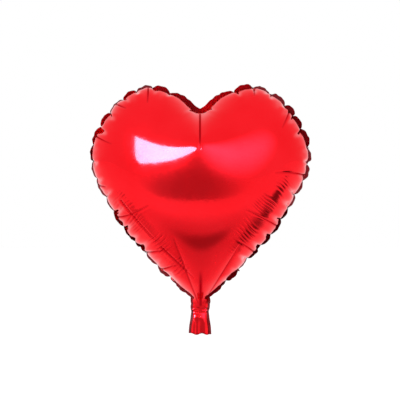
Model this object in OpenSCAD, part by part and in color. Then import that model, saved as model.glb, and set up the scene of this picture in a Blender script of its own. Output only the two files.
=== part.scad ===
// Heart-shaped foil balloon, filled, with its neck hanging straight down.
// Frame: +Z up, X left to right, the front faces -Y, origin in the middle of the neck's mouth.
// Two foil panels meet in one plane (Y = 0) along a seal. The valve lies in the neck between them.
// All lengths in mm.

/* [What to draw] */
// Piece to draw, or "all"

/* [Seam of the filled heart, right-hand half] */
// Height of the seam at the bottom of the cleft
cleft_z = 355; // [335:1:370]
// How far the cleft stays level before it climbs to the lobe
cleft_round = 13; // [5:1:30]
// Sideways position of the top of the lobe
lobe_x = 73; // [60:1:90]
// Height of the top of the lobe
lobe_z = 389; // [370:1:400]
// Half the width between the widest points of the seam
widest_x = 173; // [155:1:185]
// Height of the widest point
widest_z = 281; // [260:1:300]
// Point that the lower flank runs through, sideways
flank_x = 98; // [80:1:115]
// Point that the lower flank runs through, height
flank_z = 151; // [120:1:170]
// Slope of the lower flank there, in degrees
flank_slope = 48; // [40:1:60]

/* [Neck] */
// Height at which the heart narrows into the neck
neck_top = 50; // [40:1:60]
// Half the width inside the neck's side seals at its top
neck_half = 10.5; // [8:0.5:14]
// Half the width inside the side seals at the mouth
mouth_half = 14.3; // [10:0.1:18]
// Half the gap between the panels at the top of the neck
neck_gap_half = 3.2; // [2.5:0.1:5]
// Half the gap between the panels at the mouth
mouth_gap_half = 4.4; // [3:0.1:6]

/* [Fullness] */
// Greatest distance of one panel from the seam plane
belly = 95; // [80:1:105]
// Height of the fullest point
belly_z = 252; // [230:1:270]
// Height at which the panel would be flat again behind the cleft
belly_end = 366; // [350:1:380]
// Height at which the crease from the cleft runs out on the belly
crease_end = 286; // [270:1:310]
// Roundness of the panel towards the seam at the flanks (smaller is squarer)
flank_round = 0.66; // [0.5:0.01:1]
// Roundness of the panel towards the seam at the cleft
cleft_fall = 1.05; // [0.6:0.01:1.4]

/* [Film and seals] */
// Thickness of one foil panel
film = 0.12; // [0.05:0.01:0.3]
// Width of the seal round the heart
seal = 8; // [5:0.5:12]
// Width of the seal along the neck
neck_seal = 4; // [3:0.5:6]

/* [Valve] */
// Thickness of one valve film
valve_film = 0.1; // [0.05:0.01:0.2]
// Width of the valve films
valve_width = 19; // [14:0.5:20]
// Height of the valve's lower edge above the mouth
valve_from = 14; // [10:1:24]
// Height of the valve's upper edge, inside the heart
valve_to = 98; // [80:1:120]
// Half the gap between the two valve films
valve_gap_half = 0.12; // [0.1:0.01:0.3]
// Width of the coating that keeps the passage open
coating_width = 12; // [8:0.5:15]
// Thickness of the coating
coating = 0.05; // [0.03:0.01:0.1]
// Height of the coating's lower edge
coating_from = 24; // [16:1:40]
// Height of the coating's upper edge
coating_to = 74; // [60:1:90]

/* [Hidden] */
foil_red = [0.86, 0.05, 0.09];
foil_back_red = [0.78, 0.04, 0.08];
clear_film = [0.86, 0.88, 0.90];
coating_ink = [0.93, 0.90, 0.80];
// Steps along the five stretches of the half seam: cleft, lobe, side, flank, neck
steps = [8, 10, 9, 10, 6];
// Steps from the seam to the middle line
cols = 8;
flank_way = [-cos(flank_slope), -sin(flank_slope)];
flank_point = [flank_x, flank_z];

// A cubic curve from a to d, with b and c as its handles
function curve(a, b, c, d, t) =
    pow(1 - t, 3) * a + 3 * pow(1 - t, 2) * t * b + 3 * (1 - t) * t * t * c + t * t * t * d;

// One stretch of the seam as points, without its last one
function stretch(n, a, b, c, d) = [for (k = [0 : n - 1]) curve(a, b, c, d, k / n)];

// The half seam from the cleft over the lobe and down the flank to the mouth
seam = concat(
    stretch(steps[0], [0, cleft_z], [cleft_round, cleft_z], [lobe_x - 25, lobe_z], [lobe_x, lobe_z]),
    stretch(steps[1], [lobe_x, lobe_z], [lobe_x + 52, lobe_z], [widest_x, widest_z + 57],
            [widest_x, widest_z]),
    stretch(steps[2], [widest_x, widest_z], [widest_x, widest_z - 42], flank_point - 58 * flank_way,
            flank_point),
    stretch(steps[3], flank_point, flank_point + 66 * flank_way, [neck_half, neck_top + 16],
            [neck_half, neck_top]),
    stretch(steps[4] + 1, [neck_half, neck_top], [neck_half, neck_top - 24], [mouth_half, 14],
            [mouth_half, 0]),
    [[mouth_half, 0]]
);
rows = len(seam) - 1;
neck_row = steps[0] + steps[1] + steps[2] + steps[3];

// Way along the seam at a point, and the way out of the heart square to it
function way(i) = let (d = seam[min(i + 1, rows)] - seam[max(i - 1, 0)]) d / norm(d);
function outward(i) = i == 0 ? [0, 1] : i >= neck_row ? [1, 0] : [-way(i)[1], way(i)[0]];

// The seal is wide round the heart and narrow along the neck
function seal_at(i) = neck_seal + (seal - neck_seal) * min(1, max(0, (neck_row - i) / 4));

// Where the cross line of a seam point meets the middle line
function middle(i) =
    i >= neck_row ? seam[i][1] : neck_top + (crease_end - neck_top) * (1 - pow(i / neck_row, 2));

// Distance of the panel from the seam plane on the middle line
function fullness(z) =
    z < neck_top ? mouth_gap_half + (neck_gap_half - mouth_gap_half) * z / neck_top
    : z < belly_z ? neck_gap_half
        + (belly - neck_gap_half) * (1 - pow((belly_z - z) / (belly_z - neck_top), 2.2))
    : belly * (1 - pow((z - belly_z) / (belly_end - belly_z), 2));

// How squarely the panel leaves the seam
function rounding(i) = flank_round + (cleft_fall - flank_round) * pow(max(0, 1 - 1.6 * i / neck_row), 1.5);

// Share of the way from the seam (0) to the middle line (1), closer together near the seam
function share(k) = pow(k / cols, 1.6);

// A point of the panel: column -1 is the edge of the seal, 0 the seam, cols the middle line
function spot(i, k) =
    k < 0 ? let (p = seam[i] + seal_at(i) * outward(i)) [p[0], 0, p[1]]
    : let (s = share(k), p = seam[i] * (1 - s) + [0, middle(i)] * s)
        [p[0], fullness(middle(i)) * pow(1 - pow(1 - s, 2), rounding(i)), p[1]];

// Way square to the panel, outwards. On the cleft line and the middle line one way runs straight across.
function square(i, k) =
    k < 1 ? [0, 1, 0]
    : let (along = i == 0 ? [1, 0, 0] : spot(min(i + 1, rows), k) - spot(i - 1, k),
           across = (k == cols && i > 0) ? [-1, 0, 0] : spot(i, min(k + 1, cols)) - spot(i, k - 1),
           n = cross(along, across))
        n / norm(n);

// Points of one half (mirror_x = 1 or -1) and one face (lift above the inner face)
function half(mirror_x, front_y, lift) = [
    for (i = [0 : rows], k = [-1 : cols])
        let (p = spot(i, k) + lift * square(i, k)) [mirror_x * p[0], front_y * p[1], p[2]]
];

// Number of a point. Both halves share the cleft line and the middle line.
function index(left, outer, i, k) =
    let (shared = i == 0 || k == cols)
        ((outer ? 2 : 0) + (left && !shared ? 1 : 0)) * (rows + 1) * (cols + 2) + i * (cols + 2) + k + 1;

// Two triangles of a four-cornered patch, turned round on request
function patch(q, turn) =
    turn ? [[q[0], q[2], q[1]], [q[0], q[3], q[2]]] : [[q[0], q[1], q[2]], [q[0], q[2], q[3]]];

// One foil panel with its half of the seal and of the neck: front_y is -1 for the front, 1 for the back
module foil_panel(front_y) {
    points = concat(
        half(1, front_y, 0),
        half(-1, front_y, 0),
        half(1, front_y, film),
        half(-1, front_y, film)
    );
    faces = [
        for (left = [false, true])
            let (turn = left != (front_y < 0))
                each concat(
                    [for (outer = [false, true], i = [0 : rows - 1], k = [-1 : cols - 1])
                        each patch([index(left, outer, i + 1, k), index(left, outer, i + 1, k + 1),
                                    index(left, outer, i, k + 1), index(left, outer, i, k)],
                                   turn != outer)],
                    [for (i = [0 : rows - 1])
                        each patch([index(left, false, i, -1), index(left, true, i, -1),
                                    index(left, true, i + 1, -1), index(left, false, i + 1, -1)], turn)],
                    [for (k = [-1 : cols - 1])
                        each patch([index(left, false, rows, k), index(left, true, rows, k),
                                    index(left, true, rows, k + 1), index(left, false, rows, k + 1)], turn)]
                )
    ];
    polyhedron(points = points, faces = faces, convexity = 6);
}

// An upright strip of film with rounded upper corners
module strip(width, from, to, y, thick, corner) {
    translate([0, y, 0])
        rotate([90, 0, 0])
            translate([0, 0, -thick])
                linear_extrude(height = thick) {
                    translate([-width / 2, from])
                        square([width, to - from - corner]);
                    hull()
                        for (x = [-1, 1])
                            translate([x * (width / 2 - corner), to - corner])
                                circle(r = corner, $fn = 32);
                }
}

// Foil panel that faces the viewer
module front_film() {
    color(foil_red)
        foil_panel(-1);
}

// Foil panel behind it
module back_film() {
    color(foil_back_red)
        foil_panel(1);
}

// Front film of the self-sealing valve
module valve_front_film() {
    color(clear_film)
        strip(valve_width, valve_from, valve_to, -valve_gap_half - valve_film, valve_film, 4);
}

// Back film of the self-sealing valve
module valve_back_film() {
    color(clear_film)
        strip(valve_width, valve_from, valve_to, valve_gap_half, valve_film, 4);
}

// Printed coating on the inner face of the valve's front film
module valve_release_coating() {
    color(coating_ink)
        strip(coating_width, coating_from, coating_to, -valve_gap_half, coating, 2);
}

front_film();
back_film();
valve_front_film();
valve_back_film();
valve_release_coating();
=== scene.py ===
import math

import bpy
import numpy as np
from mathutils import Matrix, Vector
from mathutils.geometry import delaunay_2d_cdt


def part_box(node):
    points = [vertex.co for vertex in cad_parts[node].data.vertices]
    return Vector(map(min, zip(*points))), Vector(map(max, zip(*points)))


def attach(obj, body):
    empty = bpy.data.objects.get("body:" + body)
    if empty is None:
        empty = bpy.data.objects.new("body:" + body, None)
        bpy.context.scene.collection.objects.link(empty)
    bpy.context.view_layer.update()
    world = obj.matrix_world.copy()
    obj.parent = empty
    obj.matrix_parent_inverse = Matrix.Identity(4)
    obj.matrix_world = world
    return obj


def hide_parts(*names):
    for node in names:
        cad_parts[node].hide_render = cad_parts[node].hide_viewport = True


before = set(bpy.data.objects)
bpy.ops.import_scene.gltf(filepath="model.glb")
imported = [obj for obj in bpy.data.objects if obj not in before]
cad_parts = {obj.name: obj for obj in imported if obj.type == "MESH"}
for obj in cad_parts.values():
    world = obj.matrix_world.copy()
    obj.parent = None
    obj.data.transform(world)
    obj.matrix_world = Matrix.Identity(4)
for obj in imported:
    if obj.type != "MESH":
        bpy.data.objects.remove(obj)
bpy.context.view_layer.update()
scene = bpy.context.scene

MM = 0.001
BODY = "root"


# ------------------------ camera

VIEW_CENTRE = Vector((0.0, 0.0, 0.2153))
VIEW_WIDTH = 0.643
VIEW_DISTANCE = 2.5
SENSOR = 36.0


def aim(obj, target, axis):
    """Turns obj so that its own axis points at target."""
    obj.rotation_euler = (Vector(target) - obj.location).to_track_quat(axis, "Y").to_euler()


def add_camera():
    data = bpy.data.cameras.new("camera")
    data.sensor_width = SENSOR
    data.lens = SENSOR * VIEW_DISTANCE / VIEW_WIDTH
    camera = bpy.data.objects.new("camera", data)
    scene.collection.objects.link(camera)
    camera.location = VIEW_CENTRE - Vector((0.0, VIEW_DISTANCE, 0.0))
    aim(camera, VIEW_CENTRE, "-Z")
    scene.camera = camera


add_camera()


# ------------------------ the flat pattern

# Seam of the flat panel, right-hand half, in mm: cleft, lobe top, widest point, flank, neck, mouth
CLEFT = (0.0, 443.5)
LOBE_TOP = (87.0, 461.0)
WIDEST = (215.5, 310.0)
FLANK = (139.8, 145.6)
FLANK_SLOPE = 47.3
NECK_TOP = (10.4, 40.0)
MOUTH = (14.3, 0.0)
# Lengths of the curve handles on both sides of those points
CLEFT_ROUND = 10.0
LOBE_HANDLES = (52.0, 67.0)
WIDEST_HANDLES = (70.0, 42.0)
FLANK_HANDLES = (61.0, 130.0)
NECK_HANDLES = (22.0, 18.0)
# Widths of the seal outside the seam, round the heart and along the neck
SEAL = 8.0
NECK_SEAL = 4.0


def bezier(a, b, c, d, count):
    """Points of a cubic curve from a to d, with b and c as its handles."""
    t = np.linspace(0, 1, count)[:, None]
    a, b, c, d = (np.array(p, float) for p in (a, b, c, d))
    return (1 - t) ** 3 * a + 3 * (1 - t) ** 2 * t * b + 3 * (1 - t) * t * t * c + t ** 3 * d


def moved(point, dx, dz):
    return (point[0] + dx, point[1] + dz)


def half_seam():
    """Points along the right-hand half of the flat seam, from the cleft to the mouth."""
    slope = math.radians(FLANK_SLOPE)
    way_x, way_z = -math.cos(slope), -math.sin(slope)
    lobe_in, lobe_out = LOBE_HANDLES
    widest_up, widest_down = WIDEST_HANDLES
    flank_up, flank_down = FLANK_HANDLES
    above_flank = moved(FLANK, -way_x * flank_up, -way_z * flank_up)
    below_flank = moved(FLANK, way_x * flank_down, way_z * flank_down)
    neck_up, neck_down = NECK_HANDLES
    stretches = [
        bezier(CLEFT, moved(CLEFT, CLEFT_ROUND, 0), moved(LOBE_TOP, -lobe_in, 0), LOBE_TOP, 50),
        bezier(LOBE_TOP, moved(LOBE_TOP, lobe_out, 0), moved(WIDEST, 0, widest_up), WIDEST, 60),
        bezier(WIDEST, moved(WIDEST, 0, -widest_down), above_flank, FLANK, 60),
        bezier(FLANK, below_flank, moved(NECK_TOP, 0, neck_up), NECK_TOP, 50),
        bezier(NECK_TOP, moved(NECK_TOP, 0, -neck_down), moved(MOUTH, 0, neck_down), MOUTH, 16),
    ]
    return np.concatenate([s[:-1] for s in stretches[:-1]] + [stretches[-1]])


HALF_SEAM = half_seam()


def lengths_along(points):
    return np.concatenate([[0], np.cumsum(np.linalg.norm(np.diff(points, axis=0), axis=1))])


def resample(points, spacing):
    along = lengths_along(points)
    count = max(2, int(round(along[-1] / spacing)) + 1)
    at = np.linspace(0, along[-1], count)
    return np.stack([np.interp(at, along, points[:, k]) for k in range(2)], 1)


class Seam:
    """Tells where flat points are: the length along the half seam and the distance from it."""

    SPACING = 2.0
    # How many points are looked up at a time
    BATCH = 4000

    def __init__(self):
        self.points = resample(HALF_SEAM, self.SPACING)
        self.along = lengths_along(self.points)
        way = np.gradient(self.points, axis=0)
        self.way = way / np.linalg.norm(way, axis=1)[:, None]
        self.length = self.along[-1]

    def locate(self, flat):
        q = np.stack([np.abs(flat[:, 0]), flat[:, 1]], 1)
        nearest = np.empty(len(q), int)
        away = np.empty(len(q))
        for first in range(0, len(q), self.BATCH):
            part = slice(first, first + self.BATCH)
            d2 = ((q[part, None, :] - self.points[None]) ** 2).sum(2)
            nearest[part] = d2.argmin(1)
            away[part] = np.sqrt(d2.min(1))
        place = self.along[nearest] + ((q - self.points[nearest]) * self.way[nearest]).sum(1)
        return place, away


def inside(outline, points):
    """Which points lie inside the outline: those with an odd number of crossings to one side."""
    x, y = points[:, 0], points[:, 1]
    odd = np.zeros(len(points), bool)
    for (x0, y0), (x1, y1) in zip(outline, np.roll(outline, -1, axis=0)):
        if y0 != y1:
            odd ^= ((y0 > y) != (y1 > y)) & (x < (x1 - x0) * (y - y0) / (y1 - y0) + x0)
    return odd


# ------------------------ filling the envelope

# Side of the triangles that the panels are first cut into
COARSE = 12.0
# Half the distance between the panels before they are filled
START_GAP = 4.0
# Nearest that a point inside the panel may lie to the seam, as a share of the triangles' side
SEAM_MARGIN = 0.62
# Steps, pressure, resistance to being pushed together near the seam and away from it, for each of
# three rounds. The triangles' sides are halved between the rounds.
ROUNDS = [
    (2200, 0.0010, 0.01, 0.01),
    (800, 0.0005, 0.30, 0.05),
    (600, 0.0003, 0.80, 0.05),
]
# Resistance to folding along the triangles' sides
FOLDING = 0.01
# How far from the seam its own resistance fades out
STIFF_REACH = 40.0
# Share of its speed that a point keeps from one step to the next
DAMPING = 0.98
# The pressure's direction is worked out anew after this many steps
PRESSURE_EVERY = 4
# Below this height the neck is hardly filled. The pressure grows to its full value over the next stretch.
NECK_HEIGHT = 50.0
FILLING_RISE = 20.0
LEAST_FILLING = 0.02
# Share of its distance from the seam plane that the neck's seam keeps in each step
NECK_FLATNESS = 0.9
# Unevenness of the coarse film, in mm, and of each finer one, as a share of the triangles' side
START_NOISE = 0.5
HALVING_NOISE = 0.005
FILL_SEED = 3
NOTCH_SPACING = 34.0
FIRST_NOTCH = 64.0
# How far a notch reaches into the panel, and its share of the film that the seam has to take up
NOTCH_REACH = (12.0, 30.0)
NOTCH_SHARE = 0.8
# The most that the seam is taken to shorten anywhere, as a share
MOST_LOSS = 0.3
# No notch starts nearer than this to the mouth
NOTCH_FREE = 125.0
# Width and length of the lens-shaped gather that draws the film in below the cleft
CLEFT_GATHER = (2.0, 80.0)
# A gather never makes a pair shorter than this share of its flat length
LEAST_REST = 0.15


class Film:
    """Both panels as one mesh. The seam's points belong to both panels."""

    def __init__(self, flat, x, tri, side, weld):
        self.flat, self.x, self.tri, self.side, self.weld = flat, x, tri, side, weld


def cut_panels(h):
    """The two flat panels, a little apart, as triangles with sides of about h."""
    half = resample(HALF_SEAM, h)
    mouth = np.linspace(half[-1], half[-1] * [-1, 1], 4)[1:-1]
    weld = np.concatenate([half, mouth, (half * [-1, 1])[::-1][:-1]])
    columns = int(weld[:, 0].max() / h) + 2
    rows = []
    z = h / 2
    while z < weld[:, 1].max():
        xs = np.arange(-columns, columns + 1) * h + (h / 2 if len(rows) % 2 else 0)
        rows.append(np.stack([xs, np.full(len(xs), z)], 1))
        z += h * math.sqrt(3) / 2
    inner = np.concatenate(rows)
    inner = inner[inside(weld, inner)]
    gap = np.sqrt(((inner[:, None, :] - weld[None]) ** 2).sum(2)).min(1)
    inner = inner[gap > SEAM_MARGIN * h]
    points = np.concatenate([weld, inner])
    nw, ni = len(weld), len(inner)
    ring = [(i, (i + 1) % nw) for i in range(nw)]
    result = delaunay_2d_cdt([Vector(p) for p in points], ring, [], 1, 1e-6)
    origin = {i: o[0] for i, o in enumerate(result[3]) if len(o)}
    tri = np.array([[origin[k] for k in t] for t in result[2] if all(k in origin for k in t)])
    a, b, c = (points[tri[:, k]] for k in range(3))
    area = (b - a)[:, 0] * (c - a)[:, 1] - (b - a)[:, 1] * (c - a)[:, 0]
    tri[area < 0] = tri[area < 0][:, ::-1]
    back = tri[:, ::-1].copy()
    back = np.where(back >= nw, back + ni, back)
    flat = np.concatenate([weld, inner, inner])
    x = np.stack([flat[:, 0], np.zeros(len(flat)), flat[:, 1]], 1)
    x[nw:nw + ni, 1] = -START_GAP
    x[nw + ni:, 1] = START_GAP
    on_weld = np.arange(len(flat)) < nw
    side = np.repeat([0, 1], len(tri))
    return Film(flat, x, np.concatenate([tri, back]), side, on_weld)


def sides_of(tri):
    """The three sides of all triangles, as pairs of points."""
    return np.sort(np.concatenate([tri[:, [0, 1]], tri[:, [1, 2]], tri[:, [2, 0]]]), 1)


def facing_points(tri):
    """The point across from each of those sides."""
    return np.concatenate([tri[:, 2], tri[:, 0], tri[:, 1]])


def quartered(tri, mid):
    """Each triangle as four. mid has the new point in the middle of each side, in the order of sides_of."""
    a, b, c = np.split(mid, 3)
    return np.concatenate([
        np.stack([tri[:, 0], a, c], 1),
        np.stack([a, tri[:, 1], b], 1),
        np.stack([c, b, tri[:, 2]], 1),
        np.stack([a, b, c], 1),
    ])


def rim_uses(film):
    """The mesh's edges, which of them each triangle side is, and which edges lie on the seam."""
    edge, which = np.unique(sides_of(film.tri), axis=0, return_inverse=True)
    which = which.reshape(-1)
    owner = np.tile(film.side, 3)
    on_seam = np.ones(len(edge), bool)
    for side in (0, 1):
        on_seam &= np.bincount(which, weights=(owner == side), minlength=len(edge)) == 1
    return edge, which, owner, on_seam


def halve(film):
    """Splits each triangle into four."""
    edge, which, owner, on_seam = rim_uses(film)
    keyed = np.column_stack([edge[which], np.where(on_seam[which], 0, 1 + owner)])
    keyed, which = np.unique(keyed, axis=0, return_inverse=True)
    which = which.reshape(-1)
    edge = keyed[:, :2]
    shared = keyed[:, 2] == 0
    tri = quartered(film.tri, len(film.x) + which)
    flat = np.concatenate([film.flat, (film.flat[edge[:, 0]] + film.flat[edge[:, 1]]) / 2])
    x = np.concatenate([film.x, (film.x[edge[:, 0]] + film.x[edge[:, 1]]) / 2])
    return Film(flat, x, tri, np.tile(film.side, 4), np.concatenate([film.weld, shared]))


def grouped(pairs, count):
    """Groups of pairs in which no point comes twice, so that a group can be moved at once."""
    used = [0] * count
    group = np.zeros(len(pairs), int)
    for i, (a, b) in enumerate(pairs.tolist()):
        taken = used[a] | used[b]
        free = 0
        while taken >> free & 1:
            free += 1
        group[i] = free
        used[a] |= 1 << free
        used[b] |= 1 << free
    return group


def crossed(a, b, width, h):
    """How much of a gather of this width at 0 lies between a and b, as a share."""
    soft = max(0.55 * h, 0.6 * width)
    return np.clip(b / (2 * soft) + 0.5, 0, 1) - np.clip(a / (2 * soft) + 0.5, 0, 1)


def gathered(film, place, away, pairs, notches, h):
    """Rest lengths of the pairs, shorter where a pair crosses a notch or the gather under the cleft."""
    a, b = pairs[:, 0], pairs[:, 1]
    v = film.flat[b] - film.flat[a]
    square = (v ** 2).sum(1)
    width, length = CLEFT_GATHER
    down = np.clip((CLEFT[1] - (film.flat[a, 1] + film.flat[b, 1]) / 2) / length, 0, 1)
    cut = width * 4 * down * (1 - down) * crossed(film.flat[a, 0], film.flat[b, 0], width, h)
    square += cut ** 2 - 2 * v[:, 0] * cut
    for half in (1, -1):
        on = (film.flat[a, 0] * half >= -1e-6) & (film.flat[b, 0] * half >= -1e-6)
        ua, ub = place[a[on]], place[b[on]]
        depth = (away[a[on]] + away[b[on]]) / 2
        cut = np.zeros(len(ua))
        for at, width, reach in notches.get(half, []):
            cut += width * np.clip(1 - depth / reach, 0, 1) * crossed(ua - at, ub - at, width, h)
        square[on] += cut ** 2 - 2 * (ub - ua) * cut
    return np.maximum(np.sqrt(np.maximum(square, 0)), LEAST_REST * np.sqrt((v ** 2).sum(1)))


def totals(index, values, count):
    """For each of count points, the sum of the values that index gives it."""
    return np.stack([np.bincount(index, values[:, k], count) for k in range(3)], 1)


def settle(film, seam, notches, h, steps, pressure, near_seam, far_off):
    """Moves the film's points until the pressure and the film's own tension balance."""
    x, tri = film.x, film.tri
    place, away = seam.locate(film.flat)
    edge, which, owner, on_seam = rim_uses(film)
    facing = facing_points(tri)
    order = np.lexsort((owner, which))
    first, second = order[:-1], order[1:]
    same = (which[first] == which[second]) & ((owner[first] == owner[second]) | on_seam[which[first]])
    same &= facing[first] != facing[second]
    across = np.stack([facing[first[same]], facing[second[same]]], 1)
    stiffness = far_off + (near_seam - far_off) * np.clip(1 - away[edge].min(1) / STIFF_REACH, 0, 1)
    groups = []
    for pairs, give, pull in ((edge, stiffness, 1.0), (across, FOLDING, 0.0)):
        rest = gathered(film, place, away, pairs, notches, h)
        give = np.broadcast_to(give, len(pairs))
        group = grouped(pairs, len(x))
        for number in range(group.max() + 1):
            on = group == number
            groups.append((pairs[on, 0], pairs[on, 1], rest[on], 0.5 * pull, 0.5 * give[on]))
    triangle_height = h * math.sqrt(3) / 2
    height = film.flat[tri].mean(1)[:, 1]
    filling = np.clip((height - NECK_HEIGHT) / FILLING_RISE, LEAST_FILLING, 1.0)
    filling = filling * pressure / (6 * triangle_height)
    neck = np.where((film.flat[:, 1] < NECK_HEIGHT) & film.weld)[0]
    speed = np.zeros_like(x)
    for count in range(steps):
        if count % PRESSURE_EVERY == 0:
            a, b, c = x[tri[:, 0]], x[tri[:, 1]], x[tri[:, 2]]
            push_out = np.repeat(np.cross(b - a, c - a) * filling[:, None], 3, axis=0)
            force = totals(tri.ravel(), push_out, len(x))
        before = x.copy()
        x += speed * DAMPING + force
        for i, j, rest, pull, push in groups:
            d = x[j] - x[i]
            length = np.sqrt(np.einsum("ij,ij->i", d, d))
            stretch = (length - rest) / length
            d *= (stretch * np.where(stretch > 0, pull, push))[:, None]
            x[i] += d
            x[j] -= d
        x[neck, 1] *= NECK_FLATNESS
        speed = x - before


def running_mean(values, count):
    return np.convolve(np.pad(values, count // 2, "edge"), np.ones(count) / count, "valid")


def shortening(film, seam):
    """How much the seam has shortened, against the place along it."""
    edge, _, _, on_seam = rim_uses(film)
    edge = edge[on_seam]
    now = np.linalg.norm(film.x[edge[:, 0]] - film.x[edge[:, 1]], axis=1)
    flat = np.linalg.norm(film.flat[edge[:, 0]] - film.flat[edge[:, 1]], axis=1)
    place = seam.locate(film.flat[edge].mean(1))[0]
    order = place.argsort()
    loss = running_mean((1 - now / flat)[order], 5)
    return place[order], np.clip(loss, 0, MOST_LOSS)


def place_notches(film, seam, rng):
    """Notches as (place along the half seam, film taken up, reach into the panel)."""
    at, loss = shortening(film, seam)
    notches = {}
    for half in (1, -1):
        cuts = [FIRST_NOTCH * rng.uniform(0.9, 1.1)]
        while cuts[-1] < seam.length - NOTCH_FREE:
            cuts.append(cuts[-1] + NOTCH_SPACING * rng.uniform(0.8, 1.2))
        cuts = np.array(cuts)
        middle = (cuts[1:] + cuts[:-1]) / 2
        ends = np.concatenate([[cuts[0] - NOTCH_SPACING / 2], middle, [cuts[-1] + NOTCH_SPACING / 2]])
        taken = NOTCH_SHARE * np.interp(cuts, at, loss) * np.diff(ends)
        reach = rng.uniform(*NOTCH_REACH, len(cuts))
        notches[half] = list(zip(cuts.tolist(), taken.tolist(), reach.tolist()))
    return notches


def fill(seam):
    """The filled envelope, still floating at its own height, and the notches along its seam."""
    rng = np.random.default_rng(FILL_SEED)
    film = cut_panels(COARSE)
    film.x[:, 1] += rng.normal(0, START_NOISE, len(film.x))
    h = COARSE
    notches = {}
    for number, (steps, pressure, near_seam, far_off) in enumerate(ROUNDS):
        if number:
            film = halve(film)
            h /= 2
            film.x += rng.normal(0, HALVING_NOISE * h, film.x.shape)
        settle(film, seam, notches, h, steps, pressure, near_seam, far_off)
        if number == 0:
            notches = place_notches(film, seam, rng)
    return film, notches


seam = Seam()
film, notches = fill(seam)


# ------------------------ panels from the filled envelope

def step(value, low, high):
    """0 below low, 1 above high and smooth between them."""
    t = np.clip((value - low) / (high - low), 0, 1)
    return t * t * (3 - 2 * t)


class Panel:
    """One of the two panels. front is -1 for the front panel and 1 for the back one."""

    def __init__(self, film, side):
        used = np.unique(film.tri[film.side == side])
        index = np.full(len(film.x), -1)
        index[used] = np.arange(len(used))
        self.tri = index[film.tri[film.side == side]]
        self.co = film.x[used].copy()
        self.flat = film.flat[used].copy()
        self.front = (-1, 1)[side]

    def refine(self):
        """Splits each triangle into four by Loop's rule. The seam is smoothed by itself."""
        edge, which, uses = np.unique(sides_of(self.tri), axis=0, return_inverse=True, return_counts=True)
        which = which.reshape(-1)
        n = len(self.co)
        a, b = edge[:, 0], edge[:, 1]
        rim = uses == 1
        opposite = totals(which, self.co[facing_points(self.tri)], len(edge))
        middle = (self.co[a] + self.co[b]) / 2
        middle[~rim] = 0.75 * middle[~rim] + 0.125 * opposite[~rim]
        count = np.bincount(edge.ravel(), minlength=n)
        ring = totals(a, self.co[b], n) + totals(b, self.co[a], n)
        weight = np.where(count == 3, 3 / 16, 3 / (8 * count))[:, None]
        old = (1 - count[:, None] * weight) * self.co + weight * ring
        ra, rb = a[rim], b[rim]
        rim_ring = totals(ra, self.co[rb], n) + totals(rb, self.co[ra], n)
        on_rim = np.unique(edge[rim])
        old[on_rim] = 0.75 * self.co[on_rim] + 0.125 * rim_ring[on_rim]
        self.tri = quartered(self.tri, n + which)
        self.flat = np.concatenate([self.flat, (self.flat[a] + self.flat[b]) / 2])
        self.co = np.concatenate([old, middle])
        self.weld = np.zeros(len(self.co), bool)
        self.weld[on_rim] = True
        self.weld[n:] = rim

    def measure(self, seam):
        """Notes each point's place along its half of the seam, its distance from the seam and its place
        along the whole seam, which is negative on the left-hand half."""
        self.place, self.away = seam.locate(self.flat)
        self.signed = np.where(self.flat[:, 0] < 0, -1, 1) * self.place

    def normals(self):
        a, b, c = (self.co[self.tri[:, k]] for k in range(3))
        face = np.repeat(np.cross(b - a, c - a), 3, axis=0)
        total = totals(self.tri.ravel(), face, len(self.co))
        return total / np.maximum(np.linalg.norm(total, axis=1), 1e-9)[:, None]

    def calm(self, share, times):
        """Moves each point off the seam part of the way to the middle of its neighbours."""
        share = np.where(self.weld, 0, share)
        edge = np.unique(sides_of(self.tri), axis=0)
        a, b = edge[:, 0], edge[:, 1]
        count = np.bincount(edge.ravel(), minlength=len(self.co))[:, None]
        for _ in range(times):
            middle = (totals(a, self.co[b], len(self.co)) + totals(b, self.co[a], len(self.co))) / count
            self.co += (middle - self.co) * share[:, None]


# Where the film is smoothed. Each pair says from where to where the smoothing sets in or fades out: with
# the distance from the seam, beside the cleft's middle line, and with the height under the cleft and
# above the neck
OFF_SEAM = (0, 6)
BESIDE_CLEFT = (10, 22)
UNDER_CLEFT = (345, 365)
ABOVE_NECK = (60, 90)

panels = [Panel(film, side) for side in (0, 1)]
for panel in panels:
    panel.refine()
    panel.measure(seam)
    # The gathers at the seam are softened, and the film under the cleft is laid smooth for its fold
    x, z = panel.flat.T
    off_seam = step(panel.away, *OFF_SEAM)
    under_cleft = (1 - step(np.abs(x), *BESIDE_CLEFT)) * step(z, *UNDER_CLEFT)
    panel.calm(0.5 * under_cleft * off_seam, 120)
    panel.calm(0.4 * off_seam * step(z, *ABOVE_NECK), 10)


# ------------------------ the neck

# Between these heights the neck that is laid out here goes over into the filled film
NECK_FROM, NECK_TO = 38.0, 56.0
# The neck's width is taken from the seam below this height
LOW_SEAM = 90.0
# How much longer the neck is than the simulation leaves it
NECK_EXTRA = 2.0
# Half the distance between the panels on the neck's middle line: heights, and the distance there
GAP_HEIGHTS = [0, 12, 26, 34, 40, 46, 52, 60]
GAPS = [4.8, 4.6, 3.6, 1.6, 1.3, 2.6, 5.0, 9.0]
# Where the neck is drawn together: height, reach, depth and length of the cross wrinkles there, and
# how much narrower it is
PINCH_HEIGHT = 40.0
PINCH_REACH = 6.5
PINCH_DEPTH = 0.6
PINCH_WAVE = 5.6
PINCH_NARROWING = 0.06
# Depth and length of the soft folds below it, of the bulges between them and of the mouth's own curl,
# and the heights over which each of them fades out
TAIL_FOLD, FOLD_END = (1.3, 19.0), (18, 36)
TAIL_BULGE, BULGE_END = (0.15, 12.0), (16, 34)
TAIL_CURL, CURL_END = (1.3, 17.0), (0, 14)
# Heights over which the neck's sway fades out, and between which its upper end is smoothed
SWAY_END = (46, 60)
SMOOTH_FROM, SMOOTH_TO = (40, 50), (84, 110)
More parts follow.
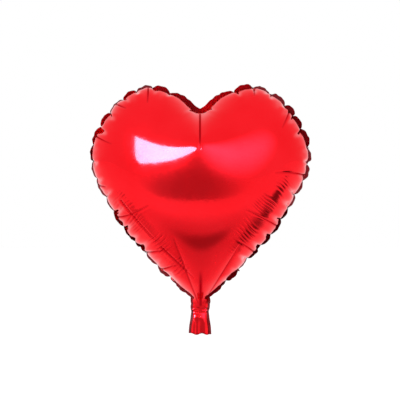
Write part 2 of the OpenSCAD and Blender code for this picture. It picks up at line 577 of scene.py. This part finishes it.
# How much wider than in the simulation the heart runs into the neck, at what height and over what reach
FLARE = 0.24
FLARE_HEIGHT = 56.0
FLARE_REACH = 13.0


def waves(x, depth, length):
    return depth * np.cos(2 * math.pi * x / length)


def bell(value, middle, reach):
    """1 at the middle, fading out on both sides of it."""
    return np.exp(-((value - middle) / reach) ** 2)


def neck_sway(x, z):
    """Where the neck's middle sheet lies: cross wrinkles at the pinch and two soft folds below it."""
    wrinkles = PINCH_DEPTH * np.sin(2 * math.pi * z / PINCH_WAVE + 0.12 * x + 0.4 * np.sin(0.3 * x))
    folds = waves(x + 2, *TAIL_FOLD) * (1 - step(z, *FOLD_END))
    return wrinkles * bell(z, PINCH_HEIGHT, PINCH_REACH) + folds


def shape_neck(panel, lift):
    """Lowers the panel so that the mouth is at height 0, and lays the neck out below the heart."""
    x, z = panel.flat.T
    upwards = HALF_SEAM[::-1]
    low_seam = upwards[upwards[:, 1] < LOW_SEAM]
    half_width = np.interp(z, low_seam[:, 1], low_seam[:, 0])
    across = np.clip(np.abs(x) / np.maximum(half_width, 1e-6), 0, 1)
    lens = (1 - across ** 2) ** 0.8
    bulge = 1 + waves(x, *TAIL_BULGE) * (1 - step(z, *BULGE_END))
    gap = np.interp(z, GAP_HEIGHTS, GAPS)
    y = panel.front * gap * lens * bulge + neck_sway(x, z) * (1 - step(z, *SWAY_END))
    curl = waves(x - 3, *TAIL_CURL) * (1 - step(z, *CURL_END))
    narrowing = 1 - PINCH_NARROWING * bell(z, PINCH_HEIGHT + 1, 9.0)
    shaped = np.stack([x * narrowing, y, z + curl], 1)
    share = step(z, NECK_FROM, NECK_TO)[:, None]
    panel.co = shaped * (1 - share) + (panel.co + [0, 0, lift]) * share
    panel.co[:, 0] *= 1 + FLARE * bell(panel.co[:, 2], FLARE_HEIGHT, FLARE_REACH)


at_mouth = panels[0].weld & (panels[0].flat[:, 1] < 1e-3)
neck_lift = NECK_EXTRA - float(panels[0].co[at_mouth, 2].mean())
for panel in panels:
    shape_neck(panel, neck_lift)
    height = panel.flat[:, 1]
    into_neck = step(height, *SMOOTH_FROM) * (1 - step(height, *SMOOTH_TO))
    panel.calm(0.5 * into_neck * step(panel.away, 0, 3), 260)


# ------------------------ creases and wrinkles

# Straight folds that widen from the point where they run out: that point and the far end as (x, z),
# how far the film is drawn in and how wide, both as a share of the distance from the point, and then
# the depth and half width of the line along the fold, and the strength of the painted shade that darkens it
FOLDS = [
    ((0, 290), (0, 352), 0.085, 0.42, 1.0, 1.2, 1.0),
    ((-42, 160), (-3, 50), 0.085, 0.11, 0.5, 1.2, 0.45),
    ((66, 152), (5, 50), 0.080, 0.11, 0.5, 1.2, 0.40),
    ((1, 112), (1, 46), 0.090, 0.14, 0.5, 2.6, 0.75),
]
# Long creases that run in from the seam, each as points (x, z), seen from the front
FRONT_CREASES = [
    [(-83, 394), (-82, 384), (-83, 368)],
    [(-140, 372), (-130, 366), (-116, 360)],
    [(-172, 321), (-158, 311), (-138, 303)],
    [(-166, 240), (-158, 237), (-148, 236)],
    [(-140, 188), (-114, 186), (-78, 207)],
    [(-94, 131), (-74, 132), (-46, 139)],
    [(-68, 103), (-54, 106), (-34, 115)],
    [(-60, 141), (-34, 117), (-8, 91)],
    [(-124, 214), (-98, 181), (-68, 151)],
    [(88, 398), (87, 391), (86, 380)],
    [(146, 364), (140, 350), (129, 328)],
    [(170, 254), (148, 260), (116, 258)],
    [(126, 172), (106, 184), (70, 200)],
    [(90, 129), (76, 142), (50, 156)],
]
BACK_CREASES = [
    [(-150, 360), (-138, 348), (-122, 340)],
    [(-166, 222), (-140, 224), (-104, 232)],
    [(-84, 124), (-66, 134), (-36, 150)],
    [(60, 396), (62, 384), (60, 366)],
    [(172, 300), (152, 298), (126, 300)],
    [(140, 190), (118, 202), (90, 220)],
    [(64, 102), (52, 114), (30, 122)],
]
# Depth and half width of a crease, and height, distance and half width of the raised film beside it
CREASE_DEPTH = 1.5
CREASE_HALF = 1.3
SHOULDER_HEIGHT = 0.45
SHOULDER_OFF = 3.6
SHOULDER_HALF = 2.4
CREASE_STEPS = 25
# The folds fade out where the panel comes nearer than this to the seam plane
FOLD_FADE = 20.0


def along_line(panel, first, last):
    """How far each point has come along the line seen from the front, how far off it is, and its length."""
    x, z = panel.co[:, 0], panel.co[:, 2]
    way = np.subtract(last, first)
    length = np.linalg.norm(way)
    way = way / length
    along = (x - first[0]) * way[0] + (z - first[1]) * way[1]
    off = (x - first[0]) * way[1] - (z - first[1]) * way[0]
    return along, off, length


def straight_fold(panel, point, far_end, draw, width, line_depth, line_half, strength):
    """Lays a straight fold that narrows to a point. Returns the painted shade that darkens each point along
    the fold's line.
    """
    along, off, length = along_line(panel, point, far_end)
    reach = np.maximum(along, 1e-3)
    full = np.clip(np.abs(panel.co[:, 1]) / FOLD_FADE, 0, 1)
    fade = (along > 0) * (1 - step(along, 0.45 * length, length)) * full
    drawn = draw * reach * np.exp(-np.abs(off) / (width * reach)) * fade
    line = bell(off, 0, line_half) * step(along, 0, 0.4 * length)
    line *= 1 - step(along, length - 2, length + 4)
    panel.co[:, 1] -= panel.front * (drawn + line_depth * line * full)
    # The fold's line is darkened with painted shade of this strength
    return strength * line


def side_creases(panel, creases):
    """How deep each point lies in the creases that run in from the seam, and in their raised sides."""
    at = panel.co[:, [0, 2]]
    depth = np.zeros(len(at))
    shoulder = np.zeros(len(at))
    share = np.linspace(0, 1, CREASE_STEPS)[:, None]
    for first, middle, last in creases:
        first, middle, last = map(np.array, (first, middle, last))
        line = (1 - share) ** 2 * first + 2 * share * (1 - share) * middle + share ** 2 * last
        near = np.linalg.norm(at - middle, axis=1) < np.linalg.norm(last - first) + 8
        apart = np.linalg.norm(at[near][:, None, :] - line[None], axis=2)
        off = apart.min(1)
        fade = (1 - share[apart.argmin(1), 0]) ** 0.5
        depth[near] = np.maximum(depth[near], bell(off, 0, CREASE_HALF) * fade)
        shoulder[near] = np.maximum(shoulder[near], bell(off, SHOULDER_OFF, SHOULDER_HALF) * fade)
    inner = step(panel.away, 0, 5)
    return depth * inner, shoulder * inner


# Bands of fine wrinkles inside the lower flanks: both ends as (x, z) and half the width
FINE_BANDS = [((142, 254), (38, 126), 19.0), ((-140, 226), (-12, 92), 16.0)]
FINE_WAVE = 5.2
FINE_HEIGHT = 0.5
# Painted shade in the fine wrinkles' hollows and at the rim of the mouth, against that of a full crease
FINE_SHADE = 0.5
MOUTH_SHADE = 0.8


def fine_wrinkles(panel):
    """Height of the fine wrinkles that run across the bands."""
    height = np.zeros(len(panel.co))
    for first, last, half_width in FINE_BANDS:
        along, off, length = along_line(panel, first, last)
        band = step(along, 0, 25) * (1 - step(along, length - 30, length))
        band *= 1 - step(np.abs(off + 3 * np.sin(along / 14)), 0.45 * half_width, half_width)
        phase = along / FINE_WAVE + 0.5 * np.sin(along / 11) + 0.15 * np.sin(off / 6 + along / 17)
        patchy = np.clip(0.5 + 0.5 * np.sin(along / 8.1 + 0.5) + 0.35 * np.sin(along / 3.7 + off / 9), 0, 1)
        height += np.sin(2 * math.pi * phase) * band * patchy
    return height * step(panel.away, 4, 14)


def lay_creases(panel, creases):
    """Lays the folds, creases and fine wrinkles, and notes how much painted shade each point gets from them
    and from the rim of the mouth.
    """
    creased = np.max([straight_fold(panel, *fold) for fold in FOLDS], axis=0)
    depth, shoulder = side_creases(panel, creases)
    ripple = fine_wrinkles(panel)
    lift = FINE_HEIGHT * ripple + SHOULDER_HEIGHT * shoulder - CREASE_DEPTH * depth
    panel.co += panel.normals() * lift[:, None]
    # Painted shade: the fold lines, the creases, the rim of the mouth and the fine wrinkles' hollows are
    # darkened
    mouth = MOUTH_SHADE * (1 - step(panel.flat[:, 1], 0.8, 2.2))
    creased = np.maximum(np.maximum(creased, depth), mouth)
    panel.crease = np.clip(creased + FINE_SHADE * np.clip(-ripple, 0, 1) ** 1.5, 0, 1)


lay_creases(panels[0], FRONT_CREASES)
lay_creases(panels[1], BACK_CREASES)


# ------------------------ the seal

# Rows of faces from the seam to the seal's edge
SEAL_ROWS = 4
# How far the seal leans away from the seam plane, in degrees, at places along the two halves
LEAN_PLACES = [0, 60, 110, 200, 400, 480, 560, 610, 700]
LEAN_LEFT = [36, 44, 52, 60, 66, 68, 62, 34, 8]
LEAN_RIGHT = [36, 44, 48, 34, 52, 66, 64, 34, 8]
# Lean at a notch, and how much a scallop's own lean may differ from the steady one
NOTCH_LEAN = 78.0
LEAN_SPREAD = 8
# Share of the scallops that lean to the other side than the one before
FLIPPED = 0.3
# Width of the seal at a notch, as a share of its full width
NOTCH_WIDTH = 0.42
# Places along the half seam between which the seal narrows to its width along the neck
NARROWING = (560, 645)
# Distance of each panel's half of the seal from the other one's, halved
SEAL_OFFSET = 0.06
# How many times the seam is smoothed to find which way the seal points
SEAM_SMOOTHING = 24
SEAL_SEED = 11


def smoothed(points, times):
    """The line with each of its points moved towards the middle of its neighbours."""
    for _ in range(times):
        points = points.copy()
        points[1:-1] = (points[:-2] + 2 * points[1:-1] + points[2:]) / 4
    return points


def seal_wave(place, half, length, rng):
    """Lean in degrees and share of the full width for points along one half of the seal."""
    cuts = np.array([0.0] + [n[0] for n in notches[half]] + [length])
    lean = np.zeros(len(place))
    share = np.ones(len(place))
    side = 1.0
    for k in range(len(cuts) - 1):
        here = (place >= cuts[k]) & (place <= cuts[k + 1])
        t = (place[here] - cuts[k]) / (cuts[k + 1] - cuts[k])
        first, last = k == 0, k == len(cuts) - 2
        bump = np.sin(math.pi * t) ** 0.7
        if first:
            bump = np.where(t < 0.5, 1, bump)
        if last:
            bump = np.where(t > 0.5, 1, bump)
        steady = np.interp(place[here], LEAN_PLACES, LEAN_RIGHT if half > 0 else LEAN_LEFT)
        steady = steady + (0 if first or last else rng.uniform(-LEAN_SPREAD, LEAN_SPREAD))
        if not first and not last and rng.random() <= FLIPPED:
            side = -side
        lean[here] = side * (steady + (NOTCH_LEAN - steady) * (1 - bump) ** 1.5)
        share[here] = NOTCH_WIDTH + (1 - NOTCH_WIDTH) * bump
    return lean, share


def seal_rows(panel, rng):
    """Points of the seal outside the seam, row by row, and the order of the seam's own points."""
    on_mouth = (panel.flat[:, 1] < 1e-3) & (np.abs(panel.flat[:, 0]) < MOUTH[0] - 1e-3)
    chain = np.where(panel.weld & ~on_mouth)[0]
    chain = chain[np.argsort(panel.signed[chain])]
    line = smoothed(panel.co[chain], SEAM_SMOOTHING)
    way = np.gradient(line, axis=0)
    way /= np.linalg.norm(way, axis=1)[:, None]
    out = np.cross(way, [0, 1, 0])
    # At the cleft the seal's two halves would run into each other, so near the middle it stands upright
    most = np.abs(line[:, 0]) / (1.4 * SEAL)
    out[:, 0] = np.clip(out[:, 0], -np.where(line[:, 0] > 0, most, 1), np.where(line[:, 0] < 0, most, 1))
    out /= np.linalg.norm(out, axis=1)[:, None]
    forward = np.cross(way, out)
    place = panel.place[chain]
    lean = np.zeros(len(chain))
    share = np.ones(len(chain))
    for half in (1, -1):
        on = panel.signed[chain] * half >= 0
        lean[on], share[on] = seal_wave(place[on], half, seam.length, rng)
    lean = np.radians(running_mean(lean, 3))
    share = running_mean(share, 3)
    wide = NECK_SEAL + (SEAL - NECK_SEAL) * (1 - step(place, *NARROWING))
    rows = []
    for row in range(1, SEAL_ROWS + 1):
        reach = row / SEAL_ROWS
        turn = lean * (0.75 + 0.35 * reach)
        way_out = out * np.cos(turn)[:, None] + forward * np.sin(turn)[:, None]
        face = forward * np.cos(turn)[:, None] - out * np.sin(turn)[:, None]
        offset = face * panel.front * SEAL_OFFSET
        rows.append(panel.co[chain] + way_out * (wide * share * reach)[:, None] - offset)
    return chain, rows


# ------------------------ meshes

def new_piece(name, points, faces, materials):
    """A mesh from points in mm, which rides on the only body."""
    mesh = bpy.data.meshes.new(name)
    mesh.from_pydata((points * MM).tolist(), [], faces)
    mesh.update()
    for material in materials:
        mesh.materials.append(material)
    mesh.shade_smooth()
    piece = bpy.data.objects.new(name, mesh)
    scene.collection.objects.link(piece)
    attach(piece, BODY)
    return piece


def point_values(piece, name, values):
    """Stores a number for each point, which a material reads by its name."""
    data = piece.data.attributes.new(name, "FLOAT", "POINT")
    data.data.foreach_set("value", np.asarray(values, np.float32))


def sharpen(piece, chain):
    """Makes the line through the chain's points a sharp edge."""
    wanted = {tuple(sorted(pair)) for pair in zip(chain[:-1].tolist(), chain[1:].tolist())}
    sharp = piece.data.attributes.new("sharp_edge", "BOOLEAN", "EDGE")
    pairs = np.zeros(2 * len(piece.data.edges), int)
    piece.data.edges.foreach_get("vertices", pairs)
    pairs = np.sort(pairs.reshape(-1, 2), 1).tolist()
    sharp.data.foreach_set("value", [tuple(pair) in wanted for pair in pairs])


def build_foil(panel, name, materials):
    """The panel with its half of the seal. The seam is a sharp edge between the two."""
    # Both panels draw the same numbers, so that their halves of the seal lie together
    chain, rows = seal_rows(panel, np.random.default_rng(SEAL_SEED))
    n, m = len(panel.co), len(chain)
    points = np.concatenate([panel.co] + rows)
    index = [chain] + [n + m * row + np.arange(m) for row in range(SEAL_ROWS)]
    seal_faces = []
    for inner, outer in zip(index[:-1], index[1:]):
        quads = np.stack([inner[:-1], inner[1:], outer[1:], outer[:-1]], 1)
        seal_faces += quads[:, ::-panel.front].tolist()
    piece = new_piece(name, points, panel.tri.tolist() + seal_faces, materials)
    kinds = np.repeat([0, 1], [len(panel.tri), len(seal_faces)])
    piece.data.polygons.foreach_set("material_index", kinds)
    sharpen(piece, chain)
    place = np.concatenate([panel.signed] + [panel.signed[chain]] * SEAL_ROWS)
    beyond = [np.full(m, -SEAL * (row + 1) / SEAL_ROWS) for row in range(SEAL_ROWS)]
    away = np.concatenate([panel.away] + beyond)
    # Painted shade for each point of the film, none on the seal
    crease = np.concatenate([panel.crease, np.zeros(m * SEAL_ROWS)])
    point_values(piece, "place", place * MM)
    point_values(piece, "away", away * MM)
    point_values(piece, "crease", crease)
    return piece


# ------------------------ materials

def bare_material(name):
    """A material with nothing but its output, its node tree and that output's surface socket."""
    material = bpy.data.materials.new(name)
    material.use_nodes = True
    tree = material.node_tree
    tree.nodes.clear()
    output = tree.nodes.new("ShaderNodeOutputMaterial")
    return material, tree, output.inputs[0]


def new_material(name):
    """A material with one surface shader."""
    material, tree, surface = bare_material(name)
    shader = tree.nodes.new("ShaderNodeBsdfPrincipled")
    tree.links.new(shader.outputs[0], surface)
    return material, tree, shader


def node(tree, kind, settings=None, **inputs):
    """A node with its settings, and its inputs set to values or linked to sockets. An input goes by its
    label, or by i and its number."""
    made = tree.nodes.new("ShaderNode" + kind)
    for key, value in (settings or {}).items():
        setattr(made, key, value)
    for key, value in inputs.items():
        socket = made.inputs[int(key[1:]) if key[1:].isdigit() else key.replace("_", " ")]
        if isinstance(value, bpy.types.NodeSocket):
            tree.links.new(value, socket)
        else:
            socket.default_value = value
    return made


def noise(tree, where, scale, detail=3.0, roughness=0.5):
    return node(tree, "TexNoise", Vector=where, Scale=scale, Detail=detail, Roughness=roughness).outputs[0]


def spread(tree, value, low, high, source=(0.3, 0.7)):
    """The value from its usual range to low..high."""
    made = node(tree, "MapRange", i0=value, i1=source[0], i2=source[1], i3=low, i4=high)
    return made.outputs[0]


def mix(tree, factor, a, b):
    made = node(tree, "Mix", {"data_type": "RGBA"}, i0=factor, i6=a, i7=b)
    return made.outputs[2]


def object_place(tree):
    return node(tree, "TexCoord").outputs["Object"]


def point_value(tree, name):
    """A number that point_values stored."""
    return node(tree, "Attribute", {"attribute_name": name}).outputs["Fac"]


def bumped(tree, height, strength, distance, **below):
    """The surface's way up, changed by the height, on top of another bump where there is one."""
    made = node(tree, "Bump", Strength=strength, Distance=distance, Height=height, **below)
    return made.outputs[0]


# Two close reds for the foil, and the colour of the painted shade in its creases
FOIL_RED = (0.95, 0.010, 0.018, 1)
FOIL_DEEP = (0.90, 0.006, 0.012, 1)
FOIL_CREASE_SHADE = (0.22, 0.001, 0.004, 1)
FOIL_ROUGHNESS = (0.075, 0.13)
# Tint of the foil's reflections towards its outline on smooth film, and the darker tint that paints shade
# into its reflections in the creases
EDGE_TINT = (1.0, 0.85, 0.87, 1)
CREASE_SHADE_TINT = (0.6, 0.04, 0.07, 1)
# Two close dark reds for the seal, whose darkness is painted shade, and its colour along the cut edge
SEAL_SHADED_RED = (0.19, 0.002, 0.007, 1)
SEAL_SHADED_DEEP = (0.13, 0.001, 0.005, 1)
SEAL_CUT = (0.30, 0.006, 0.016, 1)
# Between these distances beyond the seam, in metres, the seal takes on the cut edge's colour
CUT_FROM, CUT_TO = 0.0068, 0.0078
# Angle of the two sets of fine lines that are pressed into the seal, in radians
PRESSED_LINES = 0.8


def foil_material():
    """Red lacquered metal film, with painted shade darkening its colour and reflections in the creases."""
    material, tree, shader = new_material("red_foil")
    where = object_place(tree)
    clouds = noise(tree, where, 14.0, 4.0)
    colour = mix(tree, spread(tree, clouds, 0.0, 1.0), FOIL_RED, FOIL_DEEP)
    # Painted shade: in the creases the colour turns dark red, the reflections take a dark tint and the coat
    # fades out
    crease = point_value(tree, "crease")
    tree.links.new(mix(tree, crease, colour, FOIL_CREASE_SHADE), shader.inputs["Base Color"])
    shader.inputs["Metallic"].default_value = 1.0
    smears = noise(tree, where, 55.0, 5.0, 0.6)
    tree.links.new(spread(tree, smears, *FOIL_ROUGHNESS), shader.inputs["Roughness"])
    tree.links.new(mix(tree, crease, EDGE_TINT, CREASE_SHADE_TINT), shader.inputs["Specular Tint"])
    tree.links.new(spread(tree, crease, 0.1, 0.0, (0.0, 0.6)), shader.inputs["Coat Weight"])
    shader.inputs["Coat Roughness"].default_value = 0.06
    fine = noise(tree, where, 420.0, 2.0)
    soft = noise(tree, where, 60.0, 2.0)
    dents = bumped(tree, soft, 0.25, 0.0004)
    tree.links.new(bumped(tree, fine, 0.10, 0.0001, Normal=dents), shader.inputs["Normal"])
    return material


def seal_material():
    """The joined, pressed rim of the film, duller than the rest, with painted shade making its colour
    darker.
    """
    material, tree, shader = new_material("red_foil_seal")
    where = object_place(tree)
    clouds = noise(tree, where, 60.0, 4.0)
    place = point_value(tree, "place")
    away = point_value(tree, "away")
    # Painted shade: the seal's reds are kept dark
    colour = mix(tree, spread(tree, clouds, 0.0, 1.0), SEAL_SHADED_RED, SEAL_SHADED_DEEP)
    cut_edge = spread(tree, away, 0.0, 0.5, (-CUT_FROM, -CUT_TO))
    tree.links.new(mix(tree, cut_edge, colour, SEAL_CUT), shader.inputs["Base Color"])
    shader.inputs["Specular IOR Level"].default_value = 0.08
    tree.links.new(spread(tree, clouds, 0.38, 0.52), shader.inputs["Roughness"])
    grid = node(tree, "CombineXYZ", X=place, Y=away).outputs[0]
    bump = bumped(tree, clouds, 0.2, 0.0003)
    for turn in (PRESSED_LINES, -PRESSED_LINES):
        turned = node(tree, "VectorRotate", {"rotation_type": "Z_AXIS"}, Vector=grid, Angle=turn).outputs[0]
        lines = node(tree, "TexWave", Vector=turned, Scale=220.0, Distortion=0.0).outputs["Fac"]
        bump = bumped(tree, lines, 0.12, 0.0001, Normal=bump)
    tree.links.new(bump, shader.inputs["Normal"])
    return material


def clear_film_material():
    """Clear film that has gone slightly cloudy and creped."""
    material, tree, shader = new_material("valve_film")
    where = object_place(tree)
    cloudy = noise(tree, where, 90.0, 4.0)
    colour = mix(tree, cloudy, (0.80, 0.83, 0.86, 1), (0.90, 0.92, 0.93, 1))
    tree.links.new(colour, shader.inputs["Base Color"])
    tree.links.new(spread(tree, cloudy, 0.16, 0.30), shader.inputs["Roughness"])
    shader.inputs["Transmission Weight"].default_value = 0.6
    shader.inputs["IOR"].default_value = 1.5
    creped = noise(tree, where, 240.0, 3.0)
    tree.links.new(bumped(tree, creped, 0.3, 0.0003), shader.inputs["Normal"])
    return material


def coating_material():
    """Matt, grainy printed ink."""
    material, tree, shader = new_material("valve_coating")
    grain = noise(tree, object_place(tree), 700.0, 4.0)
    colour = mix(tree, grain, (0.72, 0.66, 0.50, 1), (0.86, 0.80, 0.66, 1))
    tree.links.new(colour, shader.inputs["Base Color"])
    tree.links.new(spread(tree, grain, 0.65, 0.85), shader.inputs["Roughness"])
    tree.links.new(bumped(tree, grain, 0.4, 0.0001), shader.inputs["Normal"])
    return material


# ------------------------ the pieces

foil_materials = [foil_material(), seal_material()]
for panel, name in zip(panels, ("front_film", "back_film")):
    piece = build_foil(panel, name + "_foil", foil_materials)
    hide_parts(name)

# Radius of the strips' upper corners, their thickness, and their places in front of (-) or behind the
# neck's middle sheet
CORNER = 4.0
STRIP_THICKNESS = 0.06
VALVE_GAP = 0.22
COATING_GAP = -0.12
# Between these heights a strip leaves the neck's own sway and hangs free inside the heart
HANG_FROM, HANG_TO = 54, 72


def strip(name, node_name, material, gap, columns, rows):
    """A film of the valve as a thin closed sheet that follows the neck's own sway."""
    low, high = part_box(node_name)
    width, length = (high.x - low.x) / MM, (high.z - low.z) / MM
    u, v = np.meshgrid(np.linspace(0, 1, columns), np.linspace(0, 1, rows))
    corner = np.clip((v * length - (length - CORNER)) / CORNER, 0, 1)
    half = width / 2 - CORNER + CORNER * np.sqrt(np.clip(1 - corner ** 2, 0, 1))
    x = (2 * u - 1) * half
    z = low.z / MM + v * length
    hanging = step(z, HANG_FROM, HANG_TO)
    wave = hanging * (0.8 * np.sin(z / 9.0) * (1 + 0.02 * x) + 0.02 * (z - 60))
    sway = 0.9 * neck_sway(x, z) * (1 - step(z, *SWAY_END))
    y = sway + wave + gap * (1 + 0.4 * hanging)
    points = np.stack([x.ravel(), y.ravel(), z.ravel()], 1)
    grid = np.arange(columns * rows).reshape(rows, columns)
    quads = np.stack([grid[:-1, :-1], grid[:-1, 1:], grid[1:, 1:], grid[1:, :-1]], 2).reshape(-1, 4)
    piece = new_piece(name, points, quads.tolist(), [material])
    thick = piece.modifiers.new("thickness", "SOLIDIFY")
    thick.thickness = STRIP_THICKNESS * MM
    thick.offset = 0.0
    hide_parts(node_name)


clear = clear_film_material()
ink = coating_material()
strip("valve_front_sheet", "valve_front_film", clear, -VALVE_GAP, 25, 121)
strip("valve_back_sheet", "valve_back_film", clear, VALVE_GAP, 25, 121)
strip("valve_coating_print", "valve_release_coating", ink, COATING_GAP, 17, 71)


# ------------------------ floor and lights

FLOOR_HEIGHT = -0.30
FLOOR_HALF = 14.0


def flat_sheet(name, corners, location, material):
    """A flat face of the studio, from its corners in its own plane."""
    mesh = bpy.data.meshes.new(name)
    mesh.from_pydata([(x, y, 0) for x, y in corners], [], [list(range(len(corners)))])
    mesh.materials.append(material)
    made = bpy.data.objects.new(name, mesh)
    scene.collection.objects.link(made)
    made.location = location
    return made


def rectangle(half_width, half_length):
    w, l = half_width, half_length
    return [(-w, -l), (w, -l), (w, l), (-w, l)]


def only_in_reflections(obj):
    obj.visible_camera = False
    obj.visible_diffuse = False
    obj.visible_shadow = False


def grey(value):
    return (value, value, value)


def floor_material():
    """Pale board that glows a little, so that it stays as light as the air behind it."""
    material, tree, shader = new_material("pale_floor")
    soft = noise(tree, object_place(tree), 2.0, 2.0)
    tree.links.new(mix(tree, soft, (*grey(0.93), 1), (*grey(0.95), 1)), shader.inputs["Base Color"])
    shader.inputs["Roughness"].default_value = 0.9
    shader.inputs["Emission Color"].default_value = (1, 1, 1, 1)
    shader.inputs["Emission Strength"].default_value = 0.12
    return material


flat_sheet("floor", rectangle(FLOOR_HALF, FLOOR_HALF), (0, 0, FLOOR_HEIGHT), floor_material())


def card_material(name, colour, core):
    """Light of one colour that fades out to the card's edges from the share core of its size."""
    material, tree, surface = bare_material(name)
    where = node(tree, "TexCoord").outputs["Generated"]
    centred = node(tree, "VectorMath", {"operation": "MULTIPLY_ADD"},
                   i0=where, i1=(1.0, 1.0, 0.0), i2=(-0.5, -0.5, 0.0)).outputs[0]
    radius = node(tree, "VectorMath", {"operation": "LENGTH"}, i0=centred).outputs["Value"]
    fade = node(tree, "MapRange", {"interpolation_type": "SMOOTHSTEP"},
                i0=radius, i1=core * 0.5, i2=0.5, i3=0.0, i4=1.0).outputs[0]
    dim = node(tree, "Emission", Color=(*colour, 1), Strength=1.0).outputs[0]
    clear_part = node(tree, "BsdfTransparent").outputs[0]
    both = node(tree, "MixShader", i0=fade, i1=dim, i2=clear_part).outputs[0]
    tree.links.new(both, surface)
    return material


def soft_card(name, half_width, half_length, location, target, colour, core):
    """A card that only reflections see."""
    material = card_material(name, colour, core)
    card = flat_sheet(name, rectangle(half_width, half_length), location, material)
    aim(card, target, "Z")
    only_in_reflections(card)
    card.visible_transmission = False


def floor_card(name, half_width, half_length, location, colour, core):
    """A card that lies just above the floor and faces up."""
    above = (*location[:2], 0.5)
    soft_card(name, half_width, half_length, location, above, colour, core)


soft_card("camera_side_shade", 2.0, 0.90, (-0.22, -2.2, -0.05), (0, 0, 0.25), grey(0.50), core=0.2)
floor_card("low_shade", 0.50, 0.19, (0.05, -0.58, -0.28), grey(0.36), core=0.25)
floor_card("front_shade", 1.20, 0.90, (0.0, -0.58, -0.29), grey(0.70), core=0.1)
floor_card("right_shade", 0.90, 0.36, (1.10, -0.12, -0.28), grey(0.20), core=0.25)
floor_card("left_shade", 0.50, 0.22, (-0.80, -0.15, -0.28), grey(0.70), core=0.2)
# On the red film a bluish white glow looks pink
soft_card("pink_glow", 1.25, 0.90, (0.75, -1.7, 0.95), (0, 0, 0.30), (3.0, 4.0, 5.4), core=0.0)


# Corners of the key light's glowing face, sideways and upwards in its own plane: narrow on the right
KEY_CORNERS = [(-0.55, -0.38), (-0.51, -0.46), (-0.42, -0.50), (0.58, -0.06), (0.58, 0.26), (-0.55, 0.30)]
KEY_RADIANCE = 60.0
KEY_TURN = -12.0


def key_light(location, target):
    """A glowing window, cut slantwise along its lower edge and seen only in the balloon's gloss."""
    material, tree, surface = bare_material("key_window")
    glow = node(tree, "Emission", Color=(1.0, 0.97, 1.0, 1), Strength=KEY_RADIANCE).outputs[0]
    tree.links.new(glow, surface)
    window = flat_sheet("key_window", KEY_CORNERS, location, material)
    aim(window, target, "-Z")
    window.rotation_euler.rotate_axis("Z", math.radians(KEY_TURN))
    only_in_reflections(window)


key_light((-0.78, -1.64, 0.94), (0, 0, 0.30))


def studio_world():
    """Even white light from all round, with colours shown as they are."""
    world = bpy.data.worlds.new("studio")
    scene.world = world
    world.use_nodes = True
    background = world.node_tree.nodes["Background"]
    background.inputs["Color"].default_value = (1, 1, 1, 1)
    background.inputs["Strength"].default_value = 1.0
    scene.view_settings.view_transform = "Standard"


studio_world()
